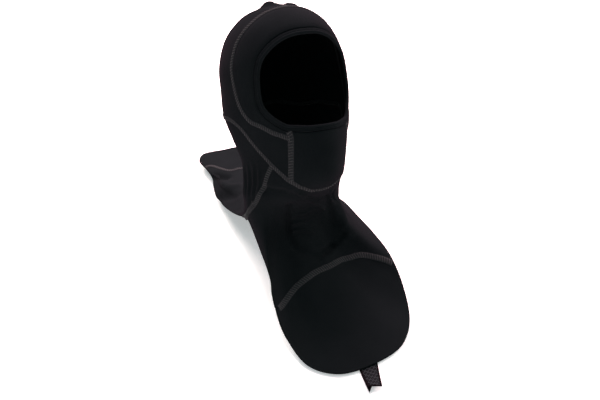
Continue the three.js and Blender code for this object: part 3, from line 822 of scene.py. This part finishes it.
def node(tree, kind, inputs=None, **settings):
    """A shader node with its settings made, and its inputs linked or given a value."""
    made = tree.nodes.new(f"ShaderNode{kind}")
    for key, value in settings.items():
        setattr(made, key, value)
    for key, value in (inputs or {}).items():
        if isinstance(value, bpy.types.NodeSocket):
            tree.links.new(value, made.inputs[key])
        else:
            made.inputs[key].default_value = value
    return made


def value_of(tree, operation, *terms):
    return node(tree, "Math", dict(enumerate(terms)), operation=operation).outputs[0]


def node_group(name, results):
    """A group from a function's named results, for the materials that share it."""
    tree = bpy.data.node_groups.new(name, "ShaderNodeTree")
    out = tree.nodes.new("NodeGroupOutput")
    for label, socket in results(tree).items():
        kind = f"NodeSocket{RESULT_KINDS[label]}"
        tree.interface.new_socket(name=label, in_out="OUTPUT", socket_type=kind)
        tree.links.new(socket, out.inputs[label])
    return tree


# %% Node groups
WALE, COURSE = 1.3 * MM, 1.0 * MM
KNIT_DEPTH, NAP_DEPTH, THREAD_DEPTH = 0.05 * MM, 0.12 * MM, 0.08 * MM
BLOTCH_SIZE, NAP_SIZE, FIBRE_SIZE = 26 * MM, 1.6 * MM, 0.5 * MM
SHADE_RANGE = (0.86, 1.14)
STITCH_SLANT, STITCH_SHARE = 2.0, 0.25


def lengths_on_cloth(tree):
    place = node(tree, "UVMap", uv_map="cloth").outputs[0]
    parts = node(tree, "SeparateXYZ", {0: place}).outputs
    return parts[0], parts[1]


def noise(tree, size, detail=2):
    place = node(tree, "TexCoord").outputs["Object"]
    return node(tree, "TexNoise", {"Vector": place, "Scale": 1 / size, "Detail": detail}).outputs[0]


def bump(tree, height, depth, over=None):
    """A normal with a relief on it, over another normal where one is given."""
    inputs = {"Height": height, "Distance": depth}
    if over is not None:
        inputs["Normal"] = over
    return node(tree, "Bump", inputs).outputs[0]


def shade(tree, value):
    return node(tree, "MapRange", {0: value, 3: SHADE_RANGE[0], 4: SHADE_RANGE[1]}).outputs[0]


def knit(tree):
    """Ribs of slanting stitches under a soft nap."""
    across, down = lengths_on_cloth(tree)
    rib = value_of(tree, "SINE", value_of(tree, "MULTIPLY", across, math.pi / WALE))
    slant = value_of(tree, "MULTIPLY", rib, STITCH_SLANT)
    stitch = value_of(tree, "SINE", value_of(tree, "MULTIPLY_ADD", down, 2 * math.pi / COURSE, slant))
    loop = value_of(tree, "MULTIPLY_ADD", stitch, STITCH_SHARE, value_of(tree, "ABSOLUTE", rib))
    nap = bump(tree, noise(tree, NAP_SIZE, detail=4), NAP_DEPTH, over=bump(tree, loop, KNIT_DEPTH))
    return {"Shade": shade(tree, noise(tree, BLOTCH_SIZE)), "Normal": nap}


def twist(tree):
    """Loose fibres on thread, too fine for meshes."""
    fibres = noise(tree, FIBRE_SIZE, detail=3)
    return {"Shade": shade(tree, fibres), "Normal": bump(tree, fibres, THREAD_DEPTH)}


LOZENGE = 6 * MM
LOZENGE_LINE = 0.26


def lozenges(tree):
    """A lattice of crossing slants with a dot in each lozenge, woven into the tag."""
    across, down = lengths_on_cloth(tree)
    slants = []
    for sign in (1, -1):
        lean = value_of(tree, "MULTIPLY_ADD", down, sign, across)
        slants.append(value_of(tree, "PINGPONG", value_of(tree, "DIVIDE", lean, LOZENGE), 0.5))
    on_line = value_of(tree, "LESS_THAN", value_of(tree, "MINIMUM", *slants), LOZENGE_LINE / 2)
    dot = value_of(tree, "GREATER_THAN", value_of(tree, "MINIMUM", *slants), 0.5 - LOZENGE_LINE / 2)
    return {"Pattern": value_of(tree, "MAXIMUM", on_line, dot)}


knit_group = node_group("knit_with_nap", knit)
twist_group = node_group("thread_fibres", twist)
lozenge_group = node_group("woven_lozenges", lozenges)
print("node groups:", [tree.name for tree in bpy.data.node_groups])


# %% Materials
def new_material(name, colour, roughness, group=None, **uniform):
    """A Principled material, shaded and roughened by a group where it has one."""
    material = bpy.data.materials.new(name)
    material.use_nodes = True
    tree = material.node_tree
    tree.nodes.clear()
    shader = node(tree, "BsdfPrincipled", {"Base Color": (*colour, 1), "Roughness": roughness, **uniform})
    tree.links.new(shader.outputs[0], tree.nodes.new("ShaderNodeOutputMaterial").inputs[0])
    if group:
        shared = node(tree, "Group", node_tree=group)
        shaded = node(tree, "VectorMath", {0: colour, "Scale": shared.outputs["Shade"]}, operation="SCALE")
        tree.links.new(shaded.outputs[0], shader.inputs["Base Color"])
        tree.links.new(shared.outputs["Normal"], shader.inputs["Normal"])
    return material


FLEECE = (0.0059, 0.0077, 0.0084)
ROUGH = 0.8
MATT = {"Specular IOR Level": 0}
NAP = {"Sheen Weight": 0.009, "Sheen Roughness": 0.4, "Sheen Tint": (1, 0.5, 0.8, 1), **MATT}
TAG_GROUND, TAG_PATTERN = (0.002, 0.0017, 0.0021, 1), (0.028, 0.032, 0.035, 1)
fleece = new_material("stretch_fleece", FLEECE, ROUGH, knit_group, **NAP)
binding = new_material("hem_binding", FLEECE, ROUGH, knit_group, **NAP)
tape = new_material("seam_tape", (0.02, 0.0215, 0.0225), ROUGH, twist_group, **MATT)
yarn = new_material("yarn", (0.052, 0.054, 0.056), ROUGH, twist_group, **MATT)
tag = new_material("tag", (0.006, 0.0045, 0.0053), ROUGH, twist_group, **MATT)
weave = new_material("weave", (0.02, 0.02, 0.022), ROUGH, **MATT)
pattern = node(weave.node_tree, "Group", node_tree=lozenge_group).outputs["Pattern"]
woven_in = {"Fac": pattern, "Color1": TAG_GROUND, "Color2": TAG_PATTERN}
two_colours = node(weave.node_tree, "MixRGB", woven_in)
shader = next(n for n in weave.node_tree.nodes if n.type == "BSDF_PRINCIPLED")
weave.node_tree.links.new(two_colours.outputs[0], shader.inputs["Base Color"])

wearing = {
    fleece: [face_surround, *side_panels, mouth_panel, front_yoke, back_yoke, front_bib, back_bib],
    binding: [opening_hem],
    tape: [band for band, stitches in seams.values()],
    yarn: [stitches for band, stitches in seams.values()],
    tag: [upper_ply, lower_ply],
    weave: [woven_patch],
}
for material, pieces in wearing.items():
    for piece in pieces:
        piece.data.materials.append(material)
print("materials:", [material.name for material in wearing])

# %% [markdown]
# ## Floor and light
# The liner lies on white paper that is lit until it is plain white, so near-black cloth shows
# by its outline. The light comes from behind and from above, where it grazes the nap, and it is
# a little rosy. A cooler light from all round fills the hollows, and the paper's own glow keeps
# the shadows on it pale. One lamp would be simpler, but it would leave most of the cloth black.

# %% Floor and lights, in metres
FLOOR_SIZE = 12
LIT_POINT = Vector((0, 0, -0.2))
floor_mesh = bpy.data.meshes.new("floor")
edge = FLOOR_SIZE / 2
floor_corners = [(-edge, -edge, 0), (edge, -edge, 0), (edge, edge, 0), (-edge, edge, 0)]
floor_mesh.from_pydata(floor_corners, [], [(0, 1, 2, 3)])
floor_mesh.transform(Matrix.Translation((0, 0, SPREAD * MM)))
floor = bpy.data.objects.new("floor", floor_mesh)
bpy.context.collection.objects.link(floor)
PAPER_GLOW = {"Emission Color": (1, 1, 1, 1), "Emission Strength": 0.4}
floor_mesh.materials.append(new_material("paper", (0.8, 0.8, 0.8), 0.9, **PAPER_GLOW))


def softbox(name, place, size, power, colour):
    light = bpy.data.lights.new(name, "AREA")
    light.shape = "DISK"
    light.size = size
    light.energy = power
    light.color = colour
    lamp = bpy.data.objects.new(name, light)
    bpy.context.collection.objects.link(lamp)
    toward = Vector(place) - LIT_POINT
    lamp.matrix_world = Matrix.Translation(place) @ toward.to_track_quat("Z", "Y").to_matrix().to_4x4()


ROSE, WARM, PALE = (1, 0.6, 0.67), (1, 0.87, 0.82), (1, 0.86, 0.92)
LIGHTS = [  # name, place, size, power in watts, and colour
    ("overhead", (0, 0.1, 1.7), 2.4, 15, PALE),
    ("behind", (-0.1, 1.6, 1), 1.2, 76, WARM),
    ("high_behind", (0.2, 0.9, 1.5), 0.8, 78, ROSE),
    ("left_of_wearer", (1.6, -0.2, 1), 1, 24, WARM),
    ("low_left_of_wearer", (1.8, 0.6, 0.4), 0.8, 30, ROSE),
]
for light in LIGHTS:
    softbox(*light)
WORLD_COLOUR, WORLD_STRENGTH = (0.7, 1, 1, 1), 0.34
world = bpy.data.worlds.new("studio")
world.use_nodes = True
background = world.node_tree.nodes["Background"]
background.inputs["Color"].default_value = WORLD_COLOUR
background.inputs["Strength"].default_value = WORLD_STRENGTH
bpy.context.scene.world = world
bpy.context.scene.view_settings.view_transform = "Standard"
